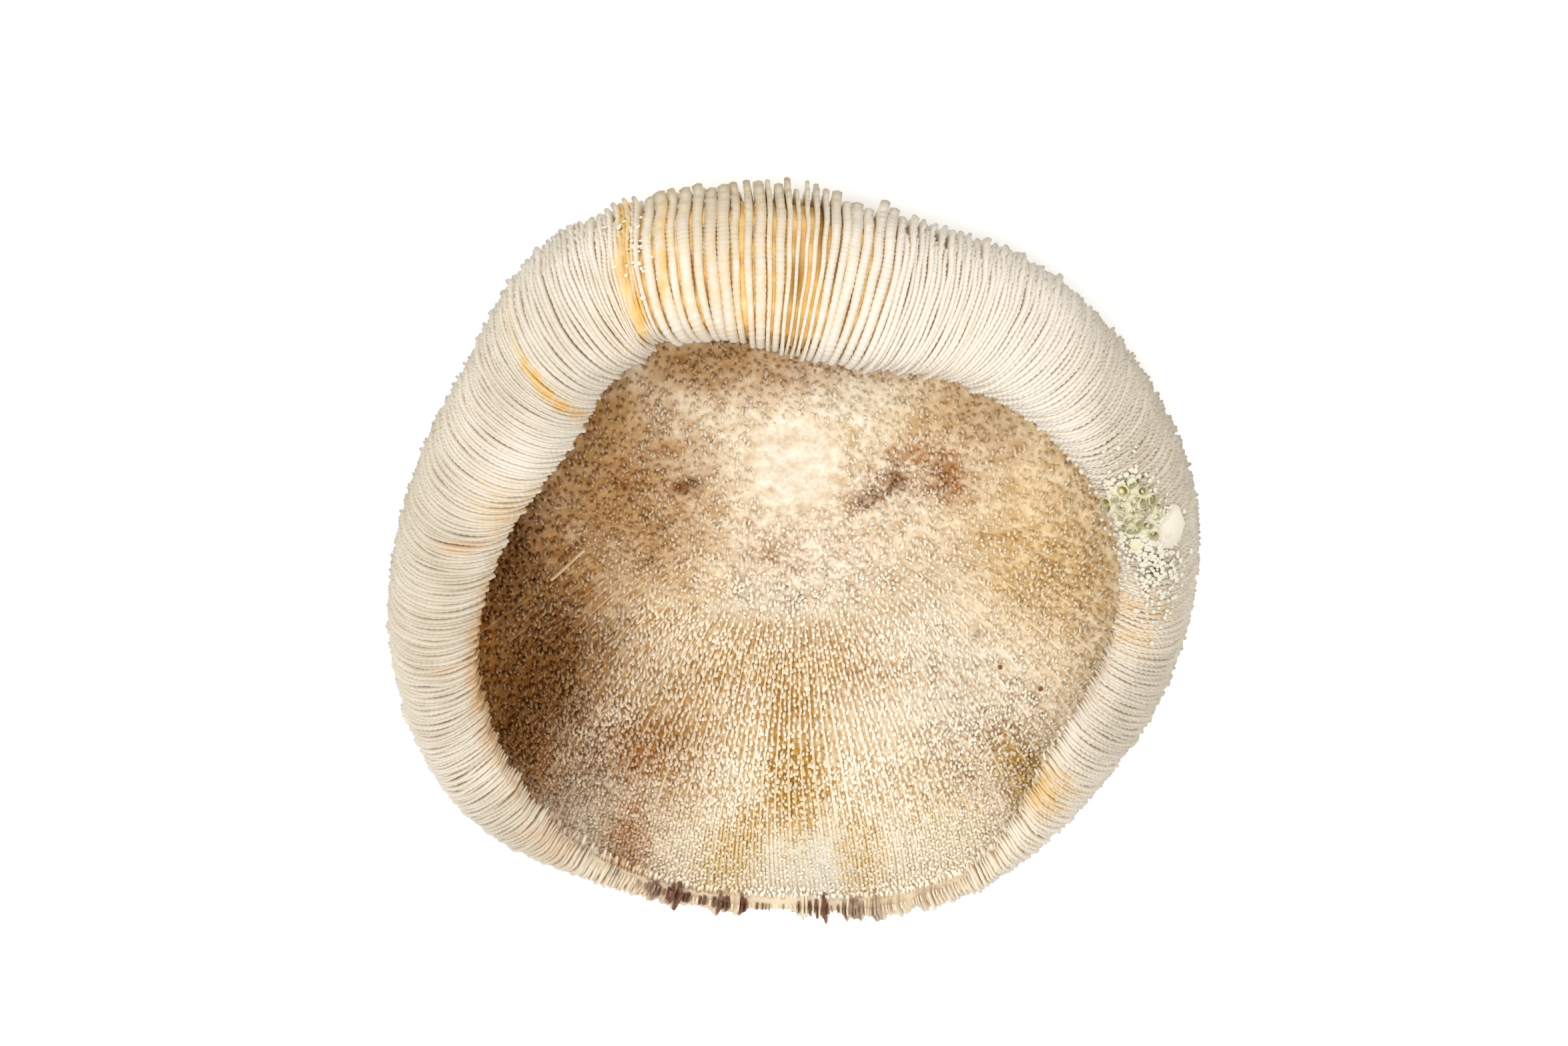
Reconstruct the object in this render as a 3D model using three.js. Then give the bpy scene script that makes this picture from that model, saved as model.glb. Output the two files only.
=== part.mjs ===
// The dried skeleton of a mushroom coral, one solid that grew in one piece.
// It lies on its round mouth side, with the hollow underside and the inrolled rim facing up.
// Units are millimetres and +Z is up. The origin is the middle of the outline, on the surface
// that the coral rests on.
import * as THREE from 'three';
import { mergeVertices } from 'three/addons/utils/BufferGeometryUtils.js';

// The rim changes on its way round. Each list has one value for each of 16 even directions
// about the growth centre, anticlockwise from +X.
const WIDEST_RADIUS = [58, 53, 49, 44, 44.5, 48, 51.5, 51, 56, 64, 70, 67.5, 66.5, 68.5, 65, 61.5];
const WIDEST_HEIGHT = [17, 16, 15, 14, 13, 13.5, 14, 15.5, 17, 19, 21, 24, 26, 25, 21, 19];
const ROLL_INSET = [13, 14, 16, 16, 16.5, 15, 17, 17, 16, 15, 13, 2.5, 0.3, 2, 11, 13];
const ROLL_RISE = [16, 17.5, 19, 20.5, 22, 21, 20, 18.5, 17, 15, 13, 8, 5, 5, 10, 13];
const ROLL_DEGREES = [125, 128, 130, 130, 130, 130, 130, 129, 128, 114, 100, 50, 20, 50, 78, 112];

const GROWTH_CENTRE = { x: 0.25, y: 10.7 };

// Mouth side: a flat ring of blade crests with a shallow hollow for the mouth.
const REST_RADIUS = 22;
const MOUTH_RADIUS = 7;
const MOUTH_DEPTH = 3;

// Body: septal blades and wall together, thinning quickly outwards and then slowly to the lip.
const CENTRE_THICKNESS = 9;
const LIP_THICKNESS = 3;

// Coarse ribs, where bundles of blades outside and rows of spines inside stand proud.
const RIBS = 48;
const BLADE_RIB_HEIGHT = 0.5;
const SPINE_RIB_HEIGHT = 0.3;

// A cleft where the rim once split and healed, running from the widest line to the lip.
const CLEFT_DEGREES = 124;
const CLEFT_HALF_WIDTH_DEGREES = 5;
const CLEFT_DEPTH = 2.5;

// Growth rings in the hollow: a raised crescent, then a groove.
const RING_RADIUS = 27;
const GROOVE_RADIUS = 34;
const RING_WIDTH = 3;
const RING_HEIGHT = 0.8;

// Facets.
const SEGMENTS = 2 * RIBS;
const BELLY_STEPS = 7;
const ROLL_STEPS = 6;

const radians = THREE.MathUtils.degToRad;
const hump = (distance, width) => Math.exp(-((distance / width) ** 2));

// The value of a list of even stations at an angle, on a smooth closed curve through them.
function around(stations, angle) {
  const count = stations.length;
  const place = (angle / (2 * Math.PI)) * count;
  const first = Math.floor(place);
  const t = place - first;
  const [a, b, c, d] = [-1, 0, 1, 2].map((k) => stations[(first + k + count) % count]);
  const linear = (c - a) * t;
  const square = (2 * a - 5 * b + 4 * c - d) * t * t;
  const cube = (3 * b - a - 3 * c + d) * t * t * t;
  return b + 0.5 * (linear + square + cube);
}

// How far the cleft cuts in at an angle, from 0 to 1.
function cleft(angle) {
  const away = THREE.MathUtils.radToDeg(angle) - CLEFT_DEGREES;
  return Math.max(0, 1 - Math.abs(away) / CLEFT_HALF_WIDTH_DEGREES);
}

// One step of the outer curve: its point, its unit normal into the body, and how far along
// the way from the resting ring (0) to the lip (1) it lies.
function step(radius, height, tangentRadius, tangentHeight, along) {
  const length = Math.hypot(tangentRadius, tangentHeight);
  return { radius, height, along, nr: -tangentHeight / length, nz: tangentRadius / length };
}

// From the resting ring up to the widest line: a quarter of an ellipse.
function bellySteps(angle) {
  const reach = around(WIDEST_RADIUS, angle) - REST_RADIUS;
  const height = around(WIDEST_HEIGHT, angle);
  return Array.from({ length: BELLY_STEPS }, (_, i) => {
    const share = i / BELLY_STEPS;
    const turn = share * Math.PI / 2;
    const radius = REST_RADIUS + reach * Math.sin(turn);
    const rise = height * (1 - Math.cos(turn));
    return step(radius, rise, reach * Math.cos(turn), height * Math.sin(turn), share * 0.6);
  });
}

// From the widest line over the top of the roll to the lip: part of an ellipse.
function rollSteps(angle) {
  const sweep = radians(around(ROLL_DEGREES, angle));
  const across = around(ROLL_INSET, angle) / (1 - Math.cos(sweep));
  const up = around(ROLL_RISE, angle);
  const centre = around(WIDEST_RADIUS, angle) - across;
  const base = around(WIDEST_HEIGHT, angle);
  return Array.from({ length: ROLL_STEPS + 1 }, (_, i) => {
    const share = i / ROLL_STEPS;
    const turn = share * sweep;
    const radius = centre + across * Math.cos(turn);
    const rise = base + up * Math.sin(turn);
    return step(radius, rise, -across * Math.sin(turn), up * Math.cos(turn), 0.6 + share * 0.4);
  });
}

// The outer surface: ribs of blades, fading in past the resting ring, and the cleft.
function outerPoint(s, angle) {
  const rib = BLADE_RIB_HEIGHT * (1 - Math.cos(RIBS * angle)) * 0.5;
  const cut = CLEFT_DEPTH * cleft(angle) * Math.max(0, (s.along - 0.5) * 2);
  const inward = Math.min(1, s.along * 4) * rib + cut;
  return [s.radius + s.nr * inward, s.height + s.nz * inward];
}

// The hollow's surface: the body's thickness in from the outer one, with growth rings and
// the ribs of spines.
function innerPoint(s, angle) {
  const thickness = LIP_THICKNESS + (CENTRE_THICKNESS - LIP_THICKNESS) * (1 - s.along) ** 2;
  const rib = SPINE_RIB_HEIGHT * Math.cos(RIBS * angle) * Math.min(1, s.along * 4);
  const radius = s.radius + s.nr * thickness;
  const ring = hump(radius - RING_RADIUS, RING_WIDTH) - hump(radius - GROOVE_RADIUS, RING_WIDTH);
  const inward = thickness + rib + RING_HEIGHT * ring * Math.max(0, 1 - s.along);
  return [s.radius + s.nr * inward, s.height + s.nz * inward];
}

// The rounded edge of the lip, half a thickness beyond the last step.
function lipPoint(s) {
  const half = LIP_THICKNESS / 2;
  const radius = s.radius + s.nr * half + s.nz * half;
  return [radius, s.height + s.nz * half - s.nr * half];
}

// The whole section in one direction, from the axis below, round the lip, to the axis above.
function section(angle) {
  const steps = [...bellySteps(angle), ...rollSteps(angle)];
  const mouth = [[0, MOUTH_DEPTH], [MOUTH_RADIUS * 0.5, MOUTH_DEPTH * 0.8], [MOUTH_RADIUS, 0]];
  const scar = [[REST_RADIUS * 0.5, CENTRE_THICKNESS], [0, CENTRE_THICKNESS]];
  const outer = steps.map((s) => outerPoint(s, angle));
  const inner = steps.map((s) => innerPoint(s, angle)).reverse();
  return [...mouth, ...outer, lipPoint(steps.at(-1)), ...inner, ...scar];
}

// A lathed blank, with one turn of the lathe for each section, reshaped to the sections.
function coralGeometry() {
  const sections = Array.from({ length: SEGMENTS }, (_, i) => section(2 * Math.PI * i / SEGMENTS));
  const blank = sections[0].map(([radius, height]) => new THREE.Vector2(radius, height));
  const lathed = new THREE.LatheGeometry(blank, SEGMENTS);
  const position = lathed.attributes.position;
  for (let i = 0; i < position.count; i++) {
    const turn = Math.floor(i / blank.length) % SEGMENTS;
    const [radius, height] = sections[turn][i % blank.length];
    const angle = 2 * Math.PI * turn / SEGMENTS;
    const x = GROWTH_CENTRE.x + radius * Math.cos(angle);
    const y = GROWTH_CENTRE.y + radius * Math.sin(angle);
    position.setXYZ(i, x, y, height);
  }
  lathed.deleteAttribute('normal');
  lathed.deleteAttribute('uv');
  const geometry = mergeVertices(lathed, 0.001);
  geometry.computeVertexNormals();
  return geometry;
}

const aragonite = new THREE.MeshStandardMaterial({ color: 0xe2d2ba, roughness: 0.9, metalness: 0 });

const coral = new THREE.Group();
const skeleton = new THREE.Mesh(coralGeometry(), aragonite);
skeleton.name = 'coral_skeleton';
coral.add(skeleton);

export default coral;
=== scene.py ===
import math

import bpy
import numpy as np
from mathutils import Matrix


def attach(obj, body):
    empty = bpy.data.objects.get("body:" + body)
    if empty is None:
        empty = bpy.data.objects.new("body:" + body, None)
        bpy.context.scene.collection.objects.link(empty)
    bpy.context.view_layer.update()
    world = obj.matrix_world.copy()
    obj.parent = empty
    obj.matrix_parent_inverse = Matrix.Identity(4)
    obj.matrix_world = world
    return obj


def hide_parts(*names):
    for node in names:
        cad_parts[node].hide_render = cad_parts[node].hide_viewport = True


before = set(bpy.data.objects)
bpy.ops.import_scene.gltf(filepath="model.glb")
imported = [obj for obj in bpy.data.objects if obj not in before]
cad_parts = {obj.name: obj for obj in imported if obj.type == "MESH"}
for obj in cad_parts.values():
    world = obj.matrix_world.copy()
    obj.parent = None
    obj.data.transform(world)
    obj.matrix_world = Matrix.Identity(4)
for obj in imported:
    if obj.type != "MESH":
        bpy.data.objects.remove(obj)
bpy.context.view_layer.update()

mm = 0.001
random = np.random.default_rng(36)

# The coral's overall form, in millimetres, as the frame's solid has it: 16 even directions
# about the growth centre, anticlockwise from +X.
rim = {
    "growthCentre": (0.25, 10.7),
    "widestRadius": [58, 53, 49, 44, 44.5, 48, 51.5, 51, 56, 64, 70, 67.5, 66.5, 68.5, 65, 61.5],
    "widestHeight": [17, 16, 15, 14, 13, 13.5, 14, 15.5, 17, 19, 21, 24, 26, 25, 21, 19],
    "rollInset": [13, 14, 16, 16, 16.5, 15, 17, 17, 16, 15, 13, 2.5, 0.3, 2, 11, 13],
    "rollRise": [16, 17.5, 19, 20.5, 22, 21, 20, 18.5, 17, 15, 13, 8, 5, 5, 10, 13],
    "rollDegrees": [125, 128, 130, 130, 130, 130, 130, 129, 128, 114, 100, 50, 20, 50, 78, 112],
    "restRadius": 22,        # flat ring of blade crests that it lies on
    "mouthRadius": 7,
    "mouthDepth": 3,
    "centreThickness": 9,    # blades and wall together
    "lipThickness": 3,
    "cleftDegrees": 124,     # where the rim once split
}
bellyShare = 0.6     # along: below 0 the flat ring, 0 to 0.6 the belly, 0.6 to 1 the roll
flatShare = 0.25
lipReach = 40        # millimetres for each whole step of along past the lip


def aroundRim(name, angle):
    # a smooth closed curve through the stations
    stations = np.array(rim[name], float)
    place = np.mod(angle / (2 * np.pi), 1) * len(stations)
    first = np.floor(place).astype(int)
    t = place - first
    a, b, c, d = (stations[(first + k) % len(stations)] for k in (-1, 0, 1, 2))
    cube = (3 * b - a - 3 * c + d) * t**3
    return b + 0.5 * ((c - a) * t + (2 * a - 5 * b + 4 * c - d) * t**2 + cube)


def bump(value, middle, width):
    return np.exp(-(((value - middle) / width) ** 2))


def angleBump(angle, degrees, width):
    # a bump round the rim, in degrees
    return bump(np.mod(np.degrees(angle) - degrees + 180, 360) - 180, 0, width)


def ease(value, low, high):
    t = np.clip((value - low) / (high - low), 0, 1)
    return t * t * (3 - 2 * t)


def outerCurve(angle, along):
    # radius and height on the outer envelope, and the unit direction of travel there
    widest, high = aroundRim("widestRadius", angle), aroundRim("widestHeight", angle)
    sweep = np.radians(aroundRim("rollDegrees", angle))
    across = aroundRim("rollInset", angle) / (1 - np.cos(sweep))
    up = aroundRim("rollRise", angle)
    rest = rim["restRadius"]
    belly = np.clip(along / bellyShare, 0, 1) * np.pi / 2
    roll = np.clip((along - bellyShare) / (1 - bellyShare), 0, 1) * sweep
    onBelly = along < bellyShare
    onFlat = along < 0
    past = np.maximum(along - 1, 0) * lipReach
    goRadius = np.where(onBelly, (widest - rest) * np.cos(belly), -across * np.sin(roll))
    goHeight = np.where(onBelly, high * np.sin(belly), up * np.cos(roll))
    length = np.hypot(goRadius, goHeight)
    goRadius, goHeight = goRadius / length, goHeight / length
    bellyRadius = rest + (widest - rest) * np.sin(belly)
    rollRadius = widest - across + across * np.cos(roll) + past * goRadius
    radius = np.where(onBelly, bellyRadius, rollRadius)
    height = np.where(onBelly, high * (1 - np.cos(belly)), high + up * np.sin(roll) + past * goHeight)
    radius = np.where(onFlat, rest * (1 + along / flatShare), radius)
    return radius, np.where(onFlat, 0, height), np.where(onFlat, 1, goRadius), np.where(onFlat, 0, goHeight)


def place(angle, along, depth):
    # a point some way in from the envelope, and the unit directions inward, onward and sideways
    radius, height, goRadius, goHeight = outerCurve(angle, along)
    radius = radius - goHeight * depth
    cos, sin = np.cos(angle), np.sin(angle)
    centreX, centreY = rim["growthCentre"]
    point = np.stack([centreX + radius * cos, centreY + radius * sin, height + goRadius * depth], -1)
    inward = np.stack([-goHeight * cos, -goHeight * sin, goRadius], -1)
    onward = np.stack([goRadius * cos, goRadius * sin, goHeight], -1)
    sideways = np.stack([-sin, cos, np.zeros_like(sin)], -1)
    return point, inward, onward, sideways


def bodyThickness(along):
    thick = rim["centreThickness"] - rim["lipThickness"]
    return rim["lipThickness"] + thick * (1 - np.clip(along, 0, 1)) ** 2


def freeHeight(angle, along):
    # how far the blades stand out of the wall: deep on the mouth side, shallow over the roll
    height = 0.85 + 0.9 * (1 - ease(along, 0.45, 0.72)) + 3 * (1 - ease(along, 0, 0.5))
    return height + 1.1 * ease(along, 0.9, 1) - 0.7 * topShare(angle) * ease(along, 0.5, 0.66)


def topShare(angle):
    # 1 where the blades stand widest apart, at the top of the rim
    degrees = np.degrees(np.mod(angle, 2 * np.pi))
    return ease(degrees, 62, 76) * (1 - ease(degrees, 112, 120))


def alongAtRadius(angle, radius):
    # where the envelope's belly or flat ring reaches a radius
    rest = rim["restRadius"]
    reach = np.clip((radius - rest) / (aroundRim("widestRadius", angle) - rest), 0, 1)
    onBelly = bellyShare * np.arcsin(reach) * 2 / np.pi
    return np.where(radius < rest, flatShare * (radius / rest - 1), onBelly)


def growthRadius(points):
    # distance from the axis through the growth centre
    return np.hypot(points[:, 0] - rim["growthCentre"][0], points[:, 1] - rim["growthCentre"][1])


# ---- meshes from arrays
def meshFromArrays(name, points, faceGroups, smoothGroups, values):
    corners = np.concatenate([group.ravel() for group in faceGroups])
    sizes = np.concatenate([np.full(len(group), group.shape[1]) for group in faceGroups])
    mesh = bpy.data.meshes.new(name)
    mesh.vertices.add(len(points))
    mesh.vertices.foreach_set("co", (points * mm).astype(np.float32).ravel())
    mesh.loops.add(len(corners))
    mesh.polygons.add(len(sizes))
    mesh.polygons.foreach_set("loop_start", np.concatenate([[0], np.cumsum(sizes)[:-1]]).astype(np.int32))
    mesh.polygons.foreach_set("vertices", corners.astype(np.int32))
    mesh.polygons.foreach_set("use_smooth", np.concatenate(smoothGroups))
    mesh.update(calc_edges=True)
    setValues(mesh, values)
    piece = bpy.data.objects.new(name, mesh)
    bpy.context.scene.collection.objects.link(piece)
    return piece


def setValues(mesh, values):
    for name, numbers in values.items():
        attribute = mesh.attributes.new(name, "FLOAT", "POINT")
        attribute.data.foreach_set("value", np.asarray(numbers, np.float32).ravel())


# ---- stains: soft ellipses seen from above, as (x, y, length, width, turn, strength); some are partly painted light and shade, as said at each
hollowStains = {
    # this gold-tan lightening is partly the hollow's own colour and partly painted light, brightening the
    # hollow most on its right and lower right
    "goldenAndLight": [(38, -2, 16, 30, 0, 0.85), (26, 22, 14, 12, 0, 0.7), (0, -20, 34, 10, 0, 0.3),
        (36, -32, 10, 12, 0, 0.5), (-20, -6, 12, 16, 0, 0.5)],
    "tan": [(-30, 13, 17, 26, 25, 1), (-38, -8, 15, 20, 0, 1), (27, 20, 10, 9, 0, 0.4),
        (-40, -22, 18, 22, -20, 1), (-12, 29, 20, 8, 0, 0.85), (-22, -34, 12, 14, 0, 0.4),
        (10, 30, 16, 5, 0, 0.5)],
    "brown": [(-38, -23, 9, 16, -15, 1), (-43, -3, 8, 17, 8, 0.85), (-31, -38, 6, 7, 0, 0.3),
        (-31, -20, 6, 11, -25, 0.35), (-15.7, 7.7, 2.6, 1.3, 20, 1), (11, 5.6, 2.6, 1.2, 35, 0.9),
        (15.3, 8.8, 2.4, 1.7, 40, 0.9), (-20, 1.4, 1.3, 0.9, 0, 0.7), (-25, 8, 0.9, 0.8, 0, 0.8),
        (-21, -4, 1.6, 1, 60, 0.6), (28, -17, 1.2, 0.8, 0, 0.5)],
    "rust": [(-46, -14, 4, 24, 4, 0.8), (-41, -33, 4, 10, 35, 0.8), (23, 9, 3.4, 6, 20, 0.7),
        (-22.6, -35.1, 6, 5, 0, 0.5), (-25, -47, 4, 5, 0, 0.7), (18, 13, 4, 3, 0, 0.45),
        (-3, -4, 5, 4, 0, 0.25)],
    "ochre": [(0, -30, 6, 5, 0, 0.55), (0.2, -41, 6, 9, 0, 0.9), (-8, -48, 9, 4, 35, 0.75),
        (10, -49, 5, 4, -50, 0.6), (35, -37, 8, 5, -40, 0.75), (0, -24, 28, 4, 0, 0.35),
        (36, -6, 10, 10, 0, 0.3), (22, -40, 10, 8, 0, 0.3), (-16, -36, 10, 14, 0, 0.3)],
    "chalk": [(3.4, -50, 7.5, 4, 0, 0.95), (0.3, 10.7, 6.5, 7.5, 0, 0.35), (0, -13, 14, 3, 0, 0.3)],
    # these light patches are partly a paler tone of the hollow and partly painted light, lifting the lower
    # right, the ground round the scar and the lower left; they also hold off the darkening of the low
    # ground
    "paleAndLight": [(26, -28, 20, 20, 0, 0.8), (2, -6, 14, 9, 0, 0.6), (-16, -42, 14, 8, 0, 0.5),
        (6, 22, 14, 5, 0, 0.4)],
    "speck": [(16, 9, 10, 6, 25, 0.2), (-24, 4, 14, 14, 0, 0.13), (-24, -38, 13, 12, 0, 0.2),
        (0, -22, 28, 10, 0, 0.14), (30, -34, 12, 10, 0, 0.16), (2, -5, 16, 10, 0, 0.12),
        (-40, 0, 9, 22, 0, 0.16), (10, 30, 24, 6, 0, 0.16)],
}
bladeStains = {
    "gap": [(-4, 50, 22, 16, 0, 1), (-22, 49, 5, 12, -20, 0.9), (22, 40, 6, 8, -20, 0.6)],
    "ochre": [(-34, 35, 9, 1.2, -45, 0.7), (-8, 50, 17, 8, 0, 0.22), (-40, 16, 6, 6, 0, 0.25),
        (49, -2, 6, 7, 0, 0.3), (37, -32, 6, 5, -45, 0.6), (-23.4, 51.5, 1.3, 5, 10, 0.9),
        (-21.4, 47, 1.2, 5, 12, 0.9), (-18, 52, 1.1, 5, 0, 0.7)],
    # the first two tan lines lie along the folds at 180 and 202 degrees: partly the folds' own tan, partly
    # painted shadow under the folded flaps
    "tan": [(-47, 10.5, 4.5, 0.9, 12, 0.9), (-50, -9.4, 5, 0.8, 20, 0.6), (44, -4, 3, 14, 0, 0.35),
        (-36, -40, 4, 6, 45, 0.5), (-20, -52, 14, 3, -15, 0.4)],
    # these grey patches darken the blades: painted shade on the tabs along the top of the outline and over
    # the left, right and top bands, with some grey tone of the bands' own
    "greyAndShade": [(-50, 2, 13, 34, 0, 0.65), (-40, -36, 12, 14, 40, 0.5), (-12, 60.5, 34, 8, 0, 0.9),
        (52, 20, 9, 34, 12, 0.5), (52, -18, 8, 20, -20, 0.5), (-36, 38, 20, 10, 45, 0.45),
        (-10, 50, 30, 12, 0, 0.2)],
    "brown": [(51.5, 6.2, 1.1, 0.9, 0, 1), (46.8, 20.2, 1.3, 0.8, 0, 0.9)],
    "pit": [(-13.7, 52.3, 0.9, 2.2, 0, 1), (-11.4, 48.9, 0.9, 3, 0, 1), (-8.7, 49.5, 0.9, 3.4, 0, 1),
        (-10, 55, 0.9, 3, 0, 0.7), (0.6, 50.9, 1, 3, -10, 1), (7.4, 47.4, 1, 3.4, -12, 0.9),
        (4.4, 54.2, 1, 3, -10, 1), (6.1, 52.4, 0.9, 3, -10, 1), (-23.4, 52.3, 0.8, 3, 8, 0.8),
        (15, 44, 0.9, 2, -20, 0.7)],
}


def stainValues(points, stains):
    values = {}
    for name, patches in stains.items():
        total = np.zeros(len(points))
        for x, y, length, width, turn, strength in patches:
            cos, sin = math.cos(math.radians(turn)), math.sin(math.radians(turn))
            dx, dy = points[:, 0] - x, points[:, 1] - y
            far = np.hypot((dx * cos + dy * sin) / length, (dy * cos - dx * sin) / width)
            total = np.maximum(total, strength * (1 - ease(far, 0.2, 1.35)))
        values[name] = total
    return values


# ---- rows: blades outside and lines of spines inside share the same directions
rows = {
    "count": 576,
    "steps": (32, 16, 8, 4, 2),      # every 32nd row is of the coarsest level, and so on
    "jitter": 0.14,          # of one spacing
    "topCrowding": 0.35,     # how much wider apart the rows stand at the top of the rim
    "reach": (0.2, 1.0),     # how far they run past the wall's lip
    "openReach": 5.5,        # the most that they reach further where the rim isn't rolled in
    "groupSize": 3,          # neighbours that grow longer or shorter together
    "darkTips": (264, 15),   # middle and half spread, in degrees, of the brown tips
}
finest = len(rows["steps"])      # the level of every other row


def rowAngles(fractions):
    # the rows' directions, for even fractions of the way round
    angle = np.linspace(0, 2 * np.pi, 1441)      # a quarter of a degree apart
    widest = aroundRim("widestRadius", angle)
    arc = np.hypot(widest, np.gradient(widest, angle))
    spacing = 1 + rows["topCrowding"] * angleBump(angle, 95, 38)
    gathered = np.concatenate([[0], np.cumsum((arc / spacing)[:-1])])
    return np.interp(fractions, gathered / gathered[-1], angle)


rowNumbers = np.arange(rows["count"])
rowShift = random.uniform(-rows["jitter"], rows["jitter"], rows["count"])
rowAngle = rowAngles((rowNumbers + 0.5 + rowShift) / rows["count"])
rowLevel = np.select([rowNumbers % every == 0 for every in rows["steps"]], range(finest), finest)
rowOpen = angleBump(rowAngle, 270, 38)
groupEnds = np.arange(0, rows["count"] + 1, rows["groupSize"])
rowGroup = np.interp(rowNumbers, groupEnds, random.uniform(0, 1, len(groupEnds)))
rowReach = random.uniform(*rows["reach"], rows["count"])
openReach = rows["openReach"] * random.uniform(0.5, 1, rows["count"]) * rowGroup**1.5
rowReach = rowReach + rowOpen * (openReach - 1)
rowDark = np.minimum(1.6 * angleBump(rowAngle, *rows["darkTips"]), 1)
rowDark = rowDark * (random.uniform(0, 1, rows["count"]) + 0.6 * rowGroup > 0.75)
rowOdd = random.uniform(0, 1, rows["count"])


def wanderAngle(angle, along):
    # rows sway together a little, lean over at the top and gather towards the cleft
    radius = np.maximum(outerCurve(angle, along)[0], 8)
    outer = ease(along, -0.1, 0.4)
    sway = 0.8 * np.sin(5 * angle + 3.2 * along) + 0.5 * np.sin(11 * angle + 1.7 + 5 * along)
    lean = 3.2 * angleBump(angle, 84, 13) * ease(along, 0.6, 1)
    cleft = math.radians(rim["cleftDegrees"])
    pull = 0.6 * angleBump(angle, rim["cleftDegrees"], 9) * ease(along, 0.55, 0.95)
    return angle + (sway * outer + lean) / radius + (cleft - angle) * pull


def distanceAlong(row, along, depth):
    # how far along a row its stations lie, at some depth
    track, *_ = place(wanderAngle(rowAngle[row], along), along, depth)
    return np.concatenate([[0], np.cumsum(np.linalg.norm(np.diff(track, axis=0), axis=1))])


def tipDarkness(row, along):
    # brown tips where the rows run past the open stretch of the rim
    return rowDark[row] * ease((along - 1) * lipReach, -1.4, 0.8)


# ---- the wall, pressed from a ball: latitude runs along the section, longitude round the rim
wall = {
    "hollowRings": 52,
    "outerRings": 24,
    "ridgeHeight": [0.7, 0.7, 0.6, 0.5, 0.15, 0.0],      # of a row of each level, coarse to fine
    "rimRidge": 0.4,         # of every row, near the rim
    "ringRadius": 27,        # a raised growth ring, and the groove beyond it
    "grooveRadius": 34,
    "ringWidth": 3,
    "ringHeight": 0.8,
    "scarSize": 7,
    "scarHeight": 0.35,
}


def hollowDepth(angle, along):
    # depth of the hollow's surface, with growth rings, the scar and slow waves
    radius, _, _, goHeight = outerCurve(angle, along)
    thick = bodyThickness(along)
    radius = radius - goHeight * thick
    fade = np.clip(1 - along, 0, 1)
    ring = bump(radius, wall["ringRadius"], wall["ringWidth"])
    ring = ring - bump(radius, wall["grooveRadius"], wall["ringWidth"])
    scar = wall["scarHeight"] * (1 - ease(radius, wall["scarSize"] - 1.5, wall["scarSize"] + 1))
    waves = 0.25 * np.sin(3 * angle + radius / 6) + 0.2 * np.sin(7 * angle - radius / 4)
    return thick + wall["ringHeight"] * ring * fade + scar + waves * ease(radius, 14, 24) * (0.3 + fade)


def ridgeHeight(level, angle, radius):
    # rows stand up as ridges on the open side and near the rim, hardly at all near the scar
    height = np.array(wall["ridgeHeight"])[level]
    height = height + (wall["rimRidge"] - height) * ease(radius, 52, 66) * 0.7
    return height * ease(radius, 21, 30) * (0.15 + 0.85 * angleBump(angle, 268, 52))


def makeWall():
    columns = 2 * rows["count"]      # one on each row and one between
    inner, outer = np.linspace(0, 1, wall["hollowRings"]), np.linspace(0, 1, wall["outerRings"])
    inner = np.interp(inner, [0, 0.2, 0.66, 1], [-flatShare, 0, bellyShare, 1])
    outer = np.interp(outer, [0, 0.3, 0.8, 1], [1, bellyShare, 0, -flatShare])
    ringCount = len(inner) + len(outer)
    bpy.ops.mesh.primitive_uv_sphere_add(segments=columns, ring_count=ringCount, radius=1)
    ball = bpy.context.object
    ball.name = ball.data.name = "coral_wall"
    mesh = ball.data
    flat = np.zeros(len(mesh.vertices) * 3)
    mesh.vertices.foreach_get("co", flat)
    flat = flat.reshape(-1, 3)
    ring = np.rint(np.arccos(np.clip(flat[:, 2], -1, 1)) / np.pi * ringCount).astype(int)
    column = np.rint(np.arctan2(flat[:, 1], flat[:, 0]) / (2 * np.pi) * columns).astype(int) % columns
    row, isRow = column // 2, column % 2 == 0
    after = np.append(rowAngle[1:], rowAngle[0] + 2 * np.pi)
    base = np.where(isRow, rowAngle[row], (rowAngle[row] + after[row]) / 2)
    along = np.concatenate([inner, [1.01], outer])[ring]
    onHollow, onLip = ring < len(inner), ring == len(inner)
    toRim = ease(along, 0.8, 1) * rowOpen[row]
    along = along + toRim * np.where(isRow, 0.3 * rowReach[row] - 0.6, -1.1) / lipReach
    angle = wanderAngle(base, along)
    radius = outerCurve(angle, along)[0]
    ridge = ridgeHeight(rowLevel[row], angle, radius)
    inside = hollowDepth(angle, along) + ridge * np.where(isRow, 1.0, -0.4)
    outside = freeHeight(angle, along)
    depth = np.where(onLip, (inside + outside) / 2, np.where(onHollow, inside, outside))
    points, *_ = place(angle, along, depth)
    mesh.vertices.foreach_set("co", (points * mm).ravel())
    mesh.polygons.foreach_set("use_smooth", np.ones(len(mesh.polygons), bool))
    values = stainValues(points, hollowStains | {"gap": bladeStains["gap"], "pit": bladeStains["pit"]})
    values["rise"] = np.where(isRow & onHollow, ease(ridge, 0.05, 0.4), 0)
    values["oral"] = np.where(onHollow, 0.0, 1.0)
    values["furrow"] = angleBump(angle, 268, 50) * ease(radius, 21, 30)
    values["fringe"] = tipDarkness(row, along)
    setValues(mesh, values)
    mesh.update()
    return ball


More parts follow.
